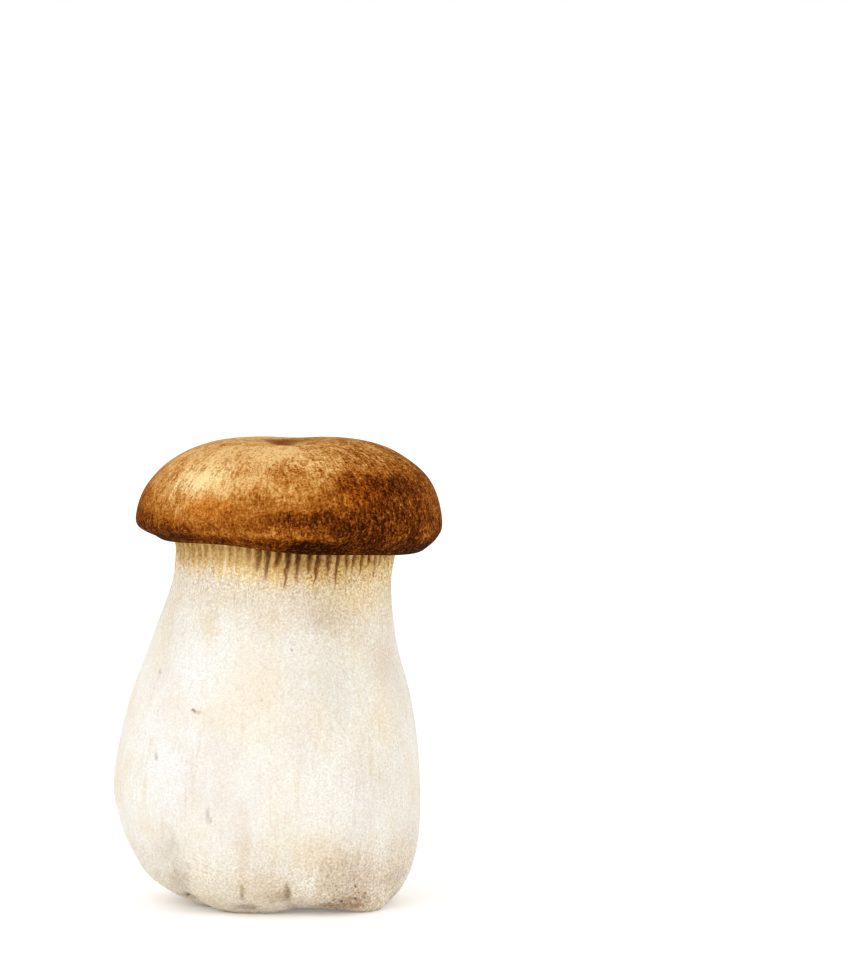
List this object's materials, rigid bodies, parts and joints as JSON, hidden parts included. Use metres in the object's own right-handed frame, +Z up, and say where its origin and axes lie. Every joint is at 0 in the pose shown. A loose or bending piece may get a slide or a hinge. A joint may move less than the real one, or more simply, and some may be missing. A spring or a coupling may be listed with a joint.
{
  "type": "king oyster mushroom",
  "caption": "King oyster mushroom standing on its cut foot: low bun-shaped brown cap, gills running a little way down the neck, thick bulbous cream stem.",
  "frame": {"origin": "on the cut face at the foot of the stem, under the middle of the neck", "axes": "+Z up the stem to the cap, -Y towards the viewer of the picture, +X to the viewer's right; the stem bulges most towards -X"},
  "size_m": [0.0592, 0.0531, 0.0838],
  "materials": {
    "mushroom_flesh": "matt, smooth skin; brown on the cap, straw between the gills, cream on the stem"
  },
  "bodies": {
    "root": {"king_oyster_mushroom": "mushroom_flesh"}
  },
  "joints": []
}
